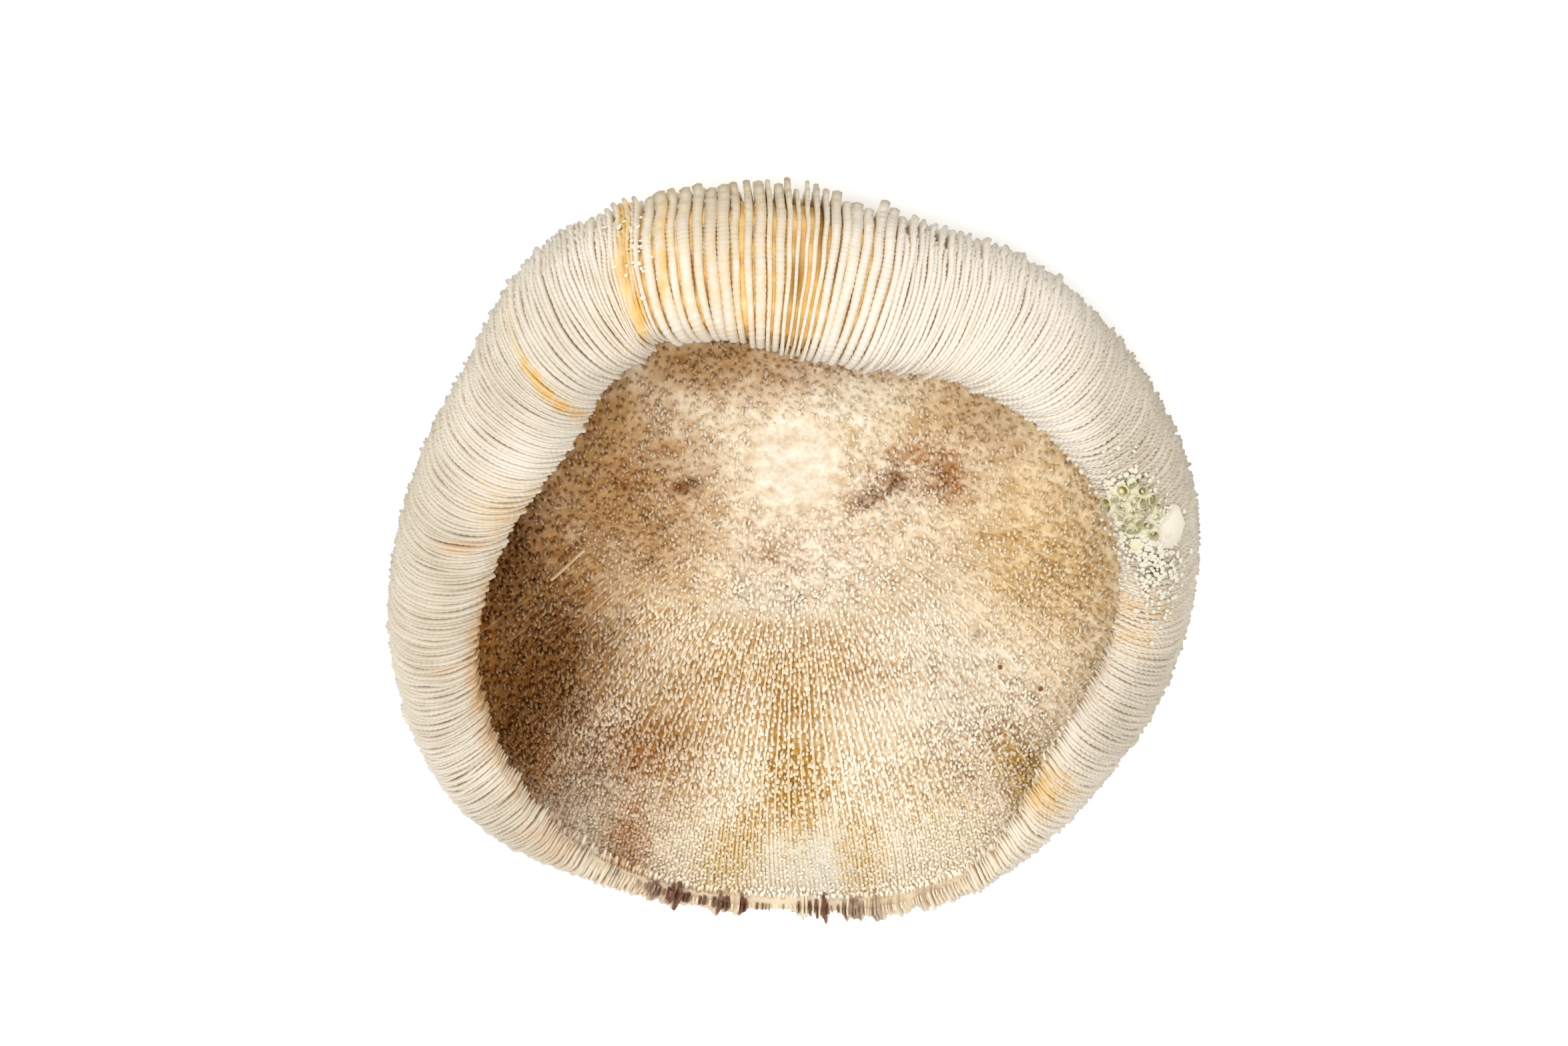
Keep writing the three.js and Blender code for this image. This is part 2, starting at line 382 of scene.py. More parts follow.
# ---- blades
blades = {
    "startRadius": [3, 7, 12, 18, 30, 44],      # one for each level, coarse to fine
    "crestDrop": [0.0, 0.06, 0.12, 0.2, 0.3, 0.42],      # share of the free height, at the rim
    "oralDrop": [0.0, 0.04, 0.1, 0.2, 0.38, 0.6],        # and on the mouth side
    "proud": 0.6,            # how far the crests stand out at the rim
    "thickest": 0.62,        # half thickness, at the rim
    "oralThickest": 0.4,
    "toothSpacing": 1.0,
    "toothSteps": 3,
    "oralStep": 0.9,         # between stations on the mouth side, where nothing is toothed
    "toothDepth": 0.8,
    "tabHeight": 4.4,        # of the thin tabs that stand up along the top of the outline
    "cleftDepth": 1.2,
    "jut": 1.4,              # the most that crests stand out at the open margin
    "sectionSide": [-1.0, -0.86, 0.0, 0.86, 1.0],      # base, shoulder, crest, shoulder, base
    "sectionDeep": [1.0, 0.42, 0.0, 0.42, 1.0],        # from the crest, 0, to the base, 1
}
# lost or torn stretches, as (degrees, along, half width in degrees, half length in along, depth)
creases = [(179.5, 0.86, 0.8, 0.12, 0.9), (202, 0.92, 0.7, 0.11, 0.8), (203.5, 0.83, 0.5, 0.06, 0.6),
           (218, 0.9, 0.8, 0.1, 0.7), (347, 0.86, 0.9, 0.13, 0.5), (355, 0.92, 0.9, 0.03, 1.0),
           (11, 0.95, 1.2, 0.03, 1.0)]


def bladeFill(angle):
    # share of one spacing that a blade takes up: closed all round, with gaps at the open margin
    return 1.04 - 0.38 * angleBump(angle, 270, 34)


def ruggedness(angle, along):
    # how strongly the crests are toothed: most on the right and round the widest line
    toRight = 0.45 * angleBump(angle, 5, 42) + 0.2 * angleBump(angle, 300, 30)
    return 0.2 + toRight + 0.8 * bump(along, 0.56, 0.1)


def bladeStations(row, level):
    # how far along the row each station stands: wide apart on the mouth side, close over the roll
    startRadius = blades["startRadius"][level] * random.uniform(0.9, 1.15)
    fine = np.linspace(alongAtRadius(rowAngle[row], startRadius), 1 + rowReach[row] / lipReach, 400)
    arc = distanceAlong(row, fine, 0)
    toothed = np.interp(0.42, fine, arc)
    step = blades["toothSpacing"] / (blades["toothSteps"] - (level == finest))
    plain = np.linspace(0, toothed, int(toothed / blades["oralStep"]) + 2)[:-1]
    travelled = np.concatenate([plain, np.linspace(toothed, arc[-1], int((arc[-1] - toothed) / step) + 2)])
    return travelled, np.interp(travelled, arc, fine), len(plain)


def bladeTeeth(count, plainCount, level):
    # 1 at the tip of a tooth and less between
    steps = blades["toothSteps"] - (level == finest)
    number = np.maximum(np.arange(count) - plainCount, 0) + random.integers(steps)
    size = random.uniform(0.45, 1.35, count // steps + 2)[number // steps]
    return np.where(np.arange(count) < plainCount, 0.6, np.where(number % steps == 0, 1.0, 0.2) * size)


def halfSpacing(row, along, apart):
    # half the way to the next row on either side, counting only every second row where apart is 2
    count = rows["count"]
    before = rowAngle[(row - apart) % count] - 2 * np.pi * (row < apart)
    after = rowAngle[(row + apart) % count] + 2 * np.pi * (row + apart >= count)
    left, *_ = place(wanderAngle(before, along), along, 0)
    right, *_ = place(wanderAngle(after, along), along, 0)
    return np.linalg.norm(right - left, axis=1) / 4


def bladeCrest(row, angle, along, travelled, tooth):
    # depth of the blade's crest below the envelope
    free = freeHeight(angle, along)
    phase = random.uniform(0, 6.28, 3)
    oralDrop, rimDrop = blades["oralDrop"][rowLevel[row]], blades["crestDrop"][rowLevel[row]]
    drop = oralDrop + (rimDrop - oralDrop) * ease(along, 0.3, 0.55)
    uneven = 0.06 * np.sin(travelled / 2.1 + phase[0]) + 0.1 * np.sin(travelled / 6.3 + phase[1])
    crest = free * drop + random.uniform(-0.1, 0.12) + uneven * ease(along, 0, 0.3)
    crest = crest - blades["proud"] * ease(along, 0.35, 0.58)
    crest = crest + (1 - tooth) * blades["toothDepth"] * ruggedness(angle, along)
    crest = crest + rim["mouthDepth"] * (1 - ease(outerCurve(angle, along)[0], 2, rim["mouthRadius"] + 1))
    crest = crest + free * 0.9 * (1 - ease(travelled, 0, 5))
    cleft = angleBump(angle, rim["cleftDegrees"] - 2.5, 2.6)
    crest = crest + blades["cleftDepth"] * cleft * ease(along, 0.58, 0.7)
    for degrees, middle, halfWidth, halfLength, depth in creases:
        crest = crest + depth * angleBump(angle, degrees, halfWidth) * bump(along, middle, halfLength)
    tall = random.uniform(0.5, 1) * (0.2 + 0.8 * rowGroup[row]**1.5)
    tabs = blades["tabHeight"] * tall * angleBump(rowAngle[row], 97, 32) * bump(along, 0.57, 0.035)
    tabs = tabs * (0.65 + 0.35 * tooth)
    return np.maximum(crest - tabs, np.where(along < 0.12, 0.0, -5))      # level where it rests


def bladeArrays(row):
    # corners of one blade, a section of five at each station
    level = rowLevel[row]
    travelled, along, plainCount = bladeStations(row, level)
    count = len(travelled)
    wobble = 0.09 * np.sin(travelled / random.uniform(1.5, 3) + random.uniform(0, 6))
    angle = wanderAngle(rowAngle[row], along) + wobble * ease(along, 0.4, 0.6) / 50
    tooth = bladeTeeth(count, plainCount, level)
    crest = bladeCrest(row, angle, along, travelled, tooth)
    base = freeHeight(angle, along) + 0.3
    crest = np.minimum(crest, base - 0.3)
    through = rowOpen[row] * ease(along, 0.8, 0.94)      # out on the hollow's side at the open rim
    base = base + (bodyThickness(along) + 0.8 - base) * through
    end = ease(travelled, travelled[-1] - 1.6 - 2.2 * rowOpen[row], travelled[-1])
    crest = crest - blades["jut"] * rowOpen[row] * rowGroup[row]**1.5 * ease(along, 0.84, 1.0)
    middle = bodyThickness(along) - 0.6 - 1.3 * through
    crest, base = crest + (middle - 0.2 - crest) * end * 0.85, base + (middle + 0.2 - base) * end * 0.85
    atTop = topShare(rowAngle[row])
    half = halfSpacing(row, along, 2 if atTop > 0.5 else 1) * bladeFill(angle) * random.uniform(0.86, 1.08)
    half = half * (1 - atTop * random.choice([0.44, 0.36, 0.3, 0.2, 0.1, -0.2]))
    oralHalf, rimHalf = blades["oralThickest"], blades["thickest"] * (1 + 0.5 * atTop)
    half = np.minimum(half, oralHalf + (rimHalf - oralHalf) * ease(along, 0.35, 0.6))
    taper = ease(travelled, travelled[-1] - 1.2, travelled[-1])
    half = half * (0.93 + 0.12 * tooth) * (1 - 0.5 * taper) * (0.45 + 0.55 * ease(travelled, 0, 3))
    shoulder = np.minimum(crest + (0.3 - 0.14 * atTop) * half + 0.08, base)
    section = []
    for depth, side in zip((base, shoulder, crest, shoulder, base), blades["sectionSide"]):
        point, _, _, sideways = place(angle, along, depth)
        section.append(point + sideways * (half * side)[:, None])
    return np.stack(section, 1).reshape(-1, 3), along


def makeBlades(name, members):
    # one joined mesh of blades, each closed by a cap at both ends
    corners = np.arange(len(blades["sectionSide"]))
    sides = len(corners)
    points, quads, caps, offset = [], [], [], 0
    told = {"deep": [], "along": [], "odd": [], "fringe": [], "rust": [], "open": []}
    for row in members:
        blade, along = bladeArrays(row)
        count = len(along)
        points.append(blade)
        told["deep"].append(np.tile(blades["sectionDeep"], count))
        told["along"].append(np.repeat(along, sides))
        told["odd"].append(np.full(sides * count, rowOdd[row]))
        told["fringe"].append(np.repeat(tipDarkness(row, along), sides))
        rust = ease(along, 0.93, 1.0) * angleBump(rowAngle[row], 203, 22)
        told["rust"].append(np.repeat(rust, sides))
        told["open"].append(np.repeat(ease(along, 0.75, 0.92) * rowOpen[row], sides))
        station = offset + sides * np.arange(count - 1)[:, None]
        first, second = station + corners, station + (corners + 1) % sides
        quads.append(np.stack([first, first + sides, second + sides, second], -1).reshape(-1, 4))
        caps.append(offset + corners[None, :])
        caps.append(offset + sides * (count - 1) + corners[None, ::-1])
        offset += sides * count
    points, quads, caps = np.concatenate(points), np.concatenate(quads), np.concatenate(caps)
    values = stainValues(points, bladeStains)
    values.update({value: np.concatenate(parts) for value, parts in told.items()})
    smooth = [np.arange(len(quads)) % sides != sides - 1, np.zeros(len(caps), bool)]      # base flat
    return meshFromArrays(name, points, [quads, caps], smooth, values)


# ---- spines
spines = {
    "spacing": 0.95,
    "startRadius": [20, 20, 21, 24, 41, 200],      # where they begin on a row of each level; 200 is never
    "openRadius": [20, 20, 21, 23, 31, 50],        # the same on the open side
    "radius": 0.28,
    "tipShare": 0.66,        # the tip's radius, as a share of the base's
    "sides": 5,
    "rootDepth": 0.3,
    "grainPitch": 0.92,      # of the scattered grains round the scar
    "grainReach": 25,
    "scarHalf": (6.6, 7.8),      # half width and half length of the bare scar
}


def takeShape(made):
    # the corners and triangles of a modelled small piece, and which triangles are smooth
    bpy.ops.object.mode_set(mode="EDIT")
    bpy.ops.mesh.select_all(action="SELECT")
    bpy.ops.mesh.quads_convert_to_tris()
    bpy.ops.object.mode_set(mode="OBJECT")
    bpy.ops.object.transform_apply(location=True, rotation=True, scale=True)
    corners = np.array([vertex.co[:] for vertex in made.data.vertices])
    faces = np.array([face.vertices[:] for face in made.data.polygons])
    smooth = np.array([face.normal.z > -0.9 for face in made.data.polygons])
    bpy.data.objects.remove(made)
    return corners, faces, smooth


def selectTop(made, height):
    # faces that look up and lie above a height
    bpy.ops.object.mode_set(mode="EDIT")
    bpy.ops.mesh.select_all(action="DESELECT")
    bpy.ops.mesh.select_mode(type="FACE")
    bpy.ops.object.mode_set(mode="OBJECT")
    for face in made.data.polygons:
        face.select = face.normal.z > 0.9 and face.center.z > height
    bpy.ops.object.mode_set(mode="EDIT")


def spineShape():
    # one spine of unit size, standing on its base, tapering to a blunt tip
    straight = 0.85
    bpy.ops.mesh.primitive_cone_add(vertices=spines["sides"], radius1=1, radius2=spines["tipShare"],
                                    depth=straight, location=(0, 0, straight / 2))
    spine = bpy.context.object
    selectTop(spine, 0.2)
    bpy.ops.mesh.poke(offset=1 - straight)
    bpy.ops.object.mode_set(mode="OBJECT")
    return takeShape(spine)


def scatter(name, shape, root, up, onward, size, values):
    # one joined mesh of copies of a small shape, each standing along up with its own size and twist
    corners, faces, smooth = shape
    count = len(root)
    up = up / np.linalg.norm(up, axis=1, keepdims=True)
    across = onward - up * np.sum(onward * up, axis=1, keepdims=True)
    across = across / np.linalg.norm(across, axis=1, keepdims=True)
    other = np.cross(up, across)
    twist = random.uniform(0, 6.28, count)[:, None]
    first = across * np.cos(twist) + other * np.sin(twist)
    second = other * np.cos(twist) - across * np.sin(twist)
    points = root[:, None, :]
    for axis, direction in enumerate((first, second, up)):
        points = points + corners[None, :, axis, None] * (direction * size[:, axis, None])[:, None, :]
    triangles = (faces[None] + (np.arange(count) * len(corners))[:, None, None]).reshape(-1, 3)
    points = points.reshape(-1, 3)
    each = (count, len(corners))
    spread = {value: np.broadcast_to(given, each).ravel() for value, given in values.items()}
    spread = stainValues(points, hollowStains) | spread
    return meshFromArrays(name, points, [triangles], [np.tile(smooth, count)], spread)


def spineHeight(angle, radius):
    # longest on the steep sides, hardly more than grains on the open side
    openSide = angleBump(angle, 270, 44) * ease(radius, 22, 30)
    height = (1.5 + 0.9 * ease(radius, 24, 42)) * (1 - 0.58 * openSide)
    return height - 0.6 * angleBump(angle, 355, 45) * ease(radius, 24, 40)


def spineRows():
    # directions and stations of all the spines that stand in rows
    angles, alongs = [], []
    for row in rowNumbers:
        starts = spines["openRadius" if angleBump(rowAngle[row], 268, 48) > 0.4 else "startRadius"]
        start = alongAtRadius(rowAngle[row], starts[rowLevel[row]] + random.uniform(-2, 2))
        fine = np.linspace(start, 1, 300)
        arc = distanceAlong(row, fine, bodyThickness(fine))
        stations = np.arange(random.uniform(0, 1), arc[-1], spines["spacing"])
        stations = stations + random.uniform(-0.3, 0.3, len(stations))
        along = np.interp(stations, arc, fine)
        loose = 0.5 - 0.35 * angleBump(rowAngle[row], 270, 45)      # straighter on the open side
        side = random.uniform(-loose, loose, len(along))
        side = side / np.maximum(outerCurve(rowAngle[row], along)[0], 20)
        angles.append(wanderAngle(rowAngle[row], along) + side)
        alongs.append(along)
    return np.concatenate(angles), np.concatenate(alongs)


def centreGrains():
    # scattered grains round the scar, before the rows begin
    reach = spines["grainReach"]
    grid = np.arange(-reach, reach, spines["grainPitch"])
    x, y = (part.ravel() for part in np.meshgrid(grid, grid))
    x, y = x + random.uniform(-0.5, 0.5, len(x)), y + random.uniform(-0.5, 0.5, len(y))
    radius, angle = np.hypot(x, y), np.arctan2(y, x)
    halfWidth, halfLength = spines["scarHalf"]
    keep = np.hypot(x / halfWidth, y / halfLength) > random.uniform(0.95, 1.25, len(x))
    keep = keep & (radius < reach - random.uniform(0, 3, len(x)))
    keep = keep & (random.uniform(0, 1, len(x)) < 0.85)
    return angle[keep], alongAtRadius(angle[keep], radius[keep])


def makeSpines(name, angle, along, shape):
    count = len(angle)
    rootDepth = hollowDepth(angle, along) - spines["rootDepth"]
    root, inward, onward, sideways = place(angle, along, rootDepth)
    radius = growthRadius(root)
    height = spineHeight(angle, radius) * random.uniform(0.6, 1.25, count) + spines["rootDepth"]
    thick = spines["radius"] * random.uniform(0.75, 1.25, count) * (1 + 0.2 * angleBump(angle, 270, 50))
    lean = random.uniform(-0.35, 0.35, (count, 2))
    outwards = 0.75 * angleBump(angle, 270, 50) * ease(radius, 24, 34)
    up = inward + onward * (lean[:, 0] + outwards)[:, None] + sideways * lean[:, 1:]
    size = np.stack([thick, thick, height], -1)
    return scatter(name, shape, root, up, onward, size, {"rise": shape[0][None, :, 2]})


# ---- small growths: a porous crust on the rim and bits caught in the cleft
# spot and spread are in degrees and along, depth is below the envelope
crustPlace = {"spot": (7, 0.885), "spread": (5.2, 0.055)}
crustCups = crustPlace | {
    "count": 52, "depth": -0.75, "size": (0.5, 0.9), "flatness": 1, "green": (0.3, 1),
}
crustLumps = crustPlace | {
    "count": 150, "depth": -0.4, "size": (0.35, 0.85), "flatness": 0.8, "green": (0, 0.8),
}
crustGrains = {
    "count": 700, "spot": (2, 0.87), "spread": (13, 0.09), "depth": -0.45,
    "size": (0.25, 0.5), "flatness": 0.8,
}
cleftBits = {
    "count": 40, "spot": (117.8, 0.7), "spread": (3.4, 0.1), "depth": 0.1,
    "size": (0.2, 0.5), "flatness": 0.4,
}
crustSpot = {"spot": (1.2, 0.79), "depth": 2.6, "size": [4.2, 4.2, 4.0]}      # a smooth swelling

# marks that lie in the hollow: a thin raised line, dark pits and a dark sliver near the lip
scarLine = {
    "spots": np.linspace((-36.1, -7.4), (-31.1, -3.2), 24), "lift": 1.9, "size": (0.28, 0.28, 0.3),
}
darkGrains = {
    "spots": [(-34.4, -4.4), (-33.6, -3.7), (-32.9, -3.1), (-32.0, -2.3), (-31.1, -1.7), (-32.4, -8.5),
              (-30, -17), (37.7, -24.9), (31.5, -22.2), (-24, 6), (-15.6, 8.3), (-14.4, 8.2), (11, 4.8),
              (15.2, 8.6), (14.3, 7.6)],
    "lift": 1.3, "size": (0.36, 0.36, 0.4),
}
darkSliver = {
    "spots": np.linspace((-43.4, -21.2), (-41.9, -19.8), 8), "lift": 2.0, "size": (0.2, 0.2, 0.2),
}


def cupShape():
    # a short open tube: the top of a cylinder is inset and pushed in
    bpy.ops.mesh.primitive_cylinder_add(vertices=8, radius=1, depth=1.6, location=(0, 0, 0.2))
    cup = bpy.context.object
    selectTop(cup, 0.5)
    bpy.ops.mesh.inset(thickness=0.38)
    bpy.ops.transform.translate(value=(0, 0, -0.9))
    bpy.ops.object.mode_set(mode="OBJECT")
    return takeShape(cup)


def lumpShape(detail):
    bpy.ops.mesh.primitive_ico_sphere_add(subdivisions=detail, radius=1)
    return takeShape(bpy.context.object)


def strewn(growth):
    # directions and stations scattered about a spot
    count, spot, spread = growth["count"], growth["spot"], growth["spread"]
    angle = np.radians(spot[0] + random.normal(0, 0.5, count) * spread[0])
    return angle, np.clip(spot[1] + random.normal(0, 0.5, count) * spread[1], 0.5, 1.0)


def growOn(name, shape, growth, values):
    # lumps of random size that sit on the crests of the blades
    angle, along = strewn(growth)
    count = len(angle)
    if "green" in growth:
        values = values | {"green": random.uniform(*growth["green"], (count, 1))}
    root, inward, onward, sideways = place(angle, along, growth["depth"])
    lean = random.uniform(-0.5, 0.5, (count, 2))
    up = -inward + onward * lean[:, :1] + sideways * lean[:, 1:]
    size = random.uniform(*growth["size"], (count, 1)) * random.uniform(0.7, 1.2, (count, 3))
    size = size * np.array([[1, 1, growth["flatness"]]])
    return scatter(name, shape, root, up, onward, size, values)


def hollowSpot(x, y):
    # direction and station of a place on the hollow's floor, seen from above
    x, y = x - rim["growthCentre"][0], y - rim["growthCentre"][1]
    angle = math.atan2(y, x) % (2 * math.pi)
    along = np.linspace(-flatShare, bellyShare, 200)
    floor, *_ = place(np.full_like(along, angle), along, bodyThickness(along))
    return angle, float(np.interp(math.hypot(x, y), growthRadius(floor), along))


def lieInHollow(name, shape, mark, values):
    # small shapes lying on the hollow's floor, all turned along the line that they make
    spots = mark["spots"]
    angle, along = np.array([hollowSpot(*spot) for spot in spots]).T
    root, inward, *_ = place(angle, along, hollowDepth(angle, along) + mark["lift"])
    heading = np.subtract(spots[-1], spots[0])
    heading = heading / np.linalg.norm(heading)
    onward = np.tile([heading[0], heading[1], 0], (len(root), 1))
    return scatter(name, shape, root, inward, onward, np.tile(mark["size"], (len(root), 1)), values)


def makeGrowths(cup, lump, grain):
    inside = (np.hypot(cup[0][:, 0], cup[0][:, 1]) < 0.8) & (cup[0][:, 2] < 0.5)
    made = [
        growOn("crust_cups", cup, crustCups, {"hole": inside[None, :] * 1.0}),
        growOn("crust_lumps", lump, crustLumps, {}),
        growOn("crust_grains", grain, crustGrains, {}),
        growOn("cleft_bits", lump, cleftBits, {}),
    ]
    degrees, along = crustSpot["spot"]
    root, inward, onward, _ = place(np.radians([degrees]), np.array([along]), crustSpot["depth"])
    made.append(scatter("crust_spot", lump, root, -inward, onward, np.array([crustSpot["size"]]), {}))
    return made


# ---- shader groups
def newGroup(name, inputs, outputs):
    group = bpy.data.node_groups.new(name, "ShaderNodeTree")
    for socket, kind, value in inputs:
        made = group.interface.new_socket(socket, in_out="INPUT", socket_type=kind)
        if value is not None:
            made.default_value = value
    for socket, kind in outputs:
        group.interface.new_socket(socket, in_out="OUTPUT", socket_type=kind)
    return group, group.nodes.new("NodeGroupInput"), group.nodes.new("NodeGroupOutput")


def addMath(tree, operation, first, second=None, third=None, clamp=False):
    node = tree.nodes.new("ShaderNodeMath")
    node.operation, node.use_clamp = operation, clamp
    for socket, value in zip(node.inputs, (first, second, third)):
        setSocket(tree, socket, value)
    return node.outputs[0]


def setSocket(tree, socket, value):
    if isinstance(value, bpy.types.NodeSocket):
        tree.links.new(value, socket)
    elif value is not None:
        socket.default_value = value


def addNoise(tree, vector, scale, detail=3.0, roughness=0.55):
    node = tree.nodes.new("ShaderNodeTexNoise")
    node.inputs["Detail"].default_value = detail
    node.inputs["Roughness"].default_value = roughness
    setSocket(tree, node.inputs["Vector"], vector)
    setSocket(tree, node.inputs["Scale"], scale)
    return node.outputs[0]


def addMix(tree, amount, below, above, blend="MIX"):
    node = tree.nodes.new("ShaderNodeMix")
    node.data_type, node.blend_type = "RGBA", blend
    setSocket(tree, node.inputs[0], amount)
    setSocket(tree, node.inputs[6], below)
    setSocket(tree, node.inputs[7], above)
    return node.outputs[2]


def addValue(tree, name):
    node = tree.nodes.new("ShaderNodeAttribute")
    node.attribute_name = name
    return node.outputs["Fac"]


def makeRaggedGroup():
    # breaks a soft mask up with noise, so that stains have ragged edges and speckles
    group, given, result = newGroup("raggedStain",
        [("Vector", "NodeSocketVector", None), ("Mask", "NodeSocketFloat", 0.0),
         ("Scale", "NodeSocketFloat", 600.0), ("Raggedness", "NodeSocketFloat", 0.8)],
        [("Mask", "NodeSocketFloat")])
    noise = addNoise(group, given.outputs["Vector"], given.outputs["Scale"], 4.0, 0.65)
    swing = addMath(group, "MULTIPLY", addMath(group, "SUBTRACT", noise, 0.5), given.outputs["Raggedness"])
    near = addMath(group, "MULTIPLY", given.outputs["Mask"], 4.0, clamp=True)      # clean far from a stain
    gated = addMath(group, "MULTIPLY", addMath(group, "MULTIPLY", swing, near), 2.0)
    total = addMath(group, "ADD", given.outputs["Mask"], gated, clamp=True)
    group.links.new(total, result.inputs["Mask"])
    return group


def makeGrainGroup():
    # fine porous grain of the skeleton: a height for bump and a speckle for colour
    group, given, result = newGroup("skeletonGrain",
        [("Vector", "NodeSocketVector", None), ("Scale", "NodeSocketFloat", 2500.0)],
        [("Height", "NodeSocketFloat"), ("Speckle", "NodeSocketFloat")])
    fine = addNoise(group, given.outputs["Vector"], given.outputs["Scale"], 5.0, 0.7)
    broadScale = addMath(group, "MULTIPLY", given.outputs["Scale"], 0.3)
    broad = addNoise(group, given.outputs["Vector"], broadScale, 2.0)
    height = addMath(group, "ADD", fine, addMath(group, "MULTIPLY", broad, 0.8))
    group.links.new(height, result.inputs["Height"])
    group.links.new(broad, result.inputs["Speckle"])
    return group


def placeGroup(tree, group, **values):
    node = tree.nodes.new("ShaderNodeGroup")
    node.node_tree = group
    for name, value in values.items():
        setSocket(tree, node.inputs[name], value)
    return node


def startMaterial(name, roughness):
    material = bpy.data.materials.new(name)
    material.use_nodes = True
    tree = material.node_tree
    shader = tree.nodes["Principled BSDF"]
    shader.inputs["Roughness"].default_value = roughness
    shader.inputs["Specular IOR Level"].default_value = 0.25
    return material, tree, shader, tree.nodes.new("ShaderNodeTexCoord").outputs["Object"]


def addStain(tree, ragged, where, name, scale, raggedness):
    # the mask of one stain, from the piece's own value of that name
    return placeGroup(tree, ragged, Vector=where, Mask=addValue(tree, name), Scale=float(scale),
                      Raggedness=raggedness).outputs["Mask"]


def addBump(tree, shader, height, distance, strength=0.6):
    node = tree.nodes.new("ShaderNodeBump")
    node.inputs["Strength"].default_value = strength
    node.inputs["Distance"].default_value = distance
    tree.links.new(height, node.inputs["Height"])
    tree.links.new(node.outputs["Normal"], shader.inputs["Normal"])


# ---- materials
hollowColours = {
    "bone": (0.95, 0.86, 0.70, 1),
    # the low ground's darker colour: partly stain, partly painted shade
    "valley": (0.56, 0.39, 0.19, 1),
    "soil": (0.25, 0.13, 0.035, 1),
    # gold-tan, partly the hollow's own colour and partly painted light
    "goldenAndLight": (0.94, 0.78, 0.52, 1),
    "tan": (0.63, 0.40, 0.18, 1),
    "brown": (0.27, 0.115, 0.03, 1),
    "rust": (0.55, 0.25, 0.05, 1),
    "ochre": (0.66, 0.43, 0.08, 1),
    "chalk": (0.87, 0.81, 0.69, 1),
    # near white, partly the hollow's paler tone and partly painted light
    "paleAndLight": (0.99, 0.93, 0.80, 1),
    "speck": (0.38, 0.17, 0.06, 1),
    "fringe": (0.14, 0.055, 0.03, 1),
}
bladeColours = {
    "bone": (0.76, 0.70, 0.61, 1),
    "open": (0.86, 0.72, 0.50, 1),
    # grey-beige, partly the bands' own grey and partly painted shade
    "greyAndShade": (0.48, 0.41, 0.29, 1),
    "deep": (0.70, 0.58, 0.42, 1),
    "gapPale": (0.90, 0.71, 0.36, 1),
    "gapDark": (0.76, 0.46, 0.13, 1),
    "ochre": (0.70, 0.44, 0.12, 1),
    "tan": (0.62, 0.45, 0.29, 1),
    "rust": (0.56, 0.37, 0.19, 1),
    "brown": (0.20, 0.09, 0.03, 1),
    "pit": (0.34, 0.15, 0.02, 1),
    # grey-beige of the underside: weathered tone and painted shade
    "undersideGreyAndShade": (0.46, 0.41, 0.33, 1),
    "fringe": (0.15, 0.055, 0.03, 1),
}
# how each stain breaks up, as (scale, raggedness), and in the hollow the share that spines keep of it
hollowStainLook = {
    "goldenAndLight": (200, 0.5, 0.8), "paleAndLight": (400, 0.5, 1), "chalk": (500, 0.5, 1),
    "tan": (250, 0.6, 0.9), "ochre": (700, 1.2, 0.4), "rust": (800, 1.3, 0.7),
    "brown": (600, 1, 0.85), "speck": (1300, 3, 0.5), "fringe": (900, 1, 1),
}
bladeStainLook = {
    "greyAndShade": (150, 0.5), "ochre": (500, 0.9), "tan": (500, 0.9), "rust": (500, 0.9),
    "brown": (900, 0.8), "fringe": (900, 0.6),
}
crustColours = {
    "lime": (0.70, 0.65, 0.53, 1),
    "green": (0.62, 0.58, 0.24, 1),
    "hole": (0.22, 0.16, 0.04, 1),
}


def gapColour(tree, where, lightness):
    # ochre to orange brown, in streaks
    streaks = addNoise(tree, where, 160.0, 4.0, 0.65)
    mixed = addMath(tree, "MULTIPLY_ADD", streaks, 2.6, -1.0, clamp=True)
    shift = addMath(tree, "MULTIPLY_ADD", lightness, 0.7, -0.35)
    amount = addMath(tree, "ADD", mixed, shift, clamp=True)
    return addMix(tree, amount, bladeColours["gapDark"], bladeColours["gapPale"])


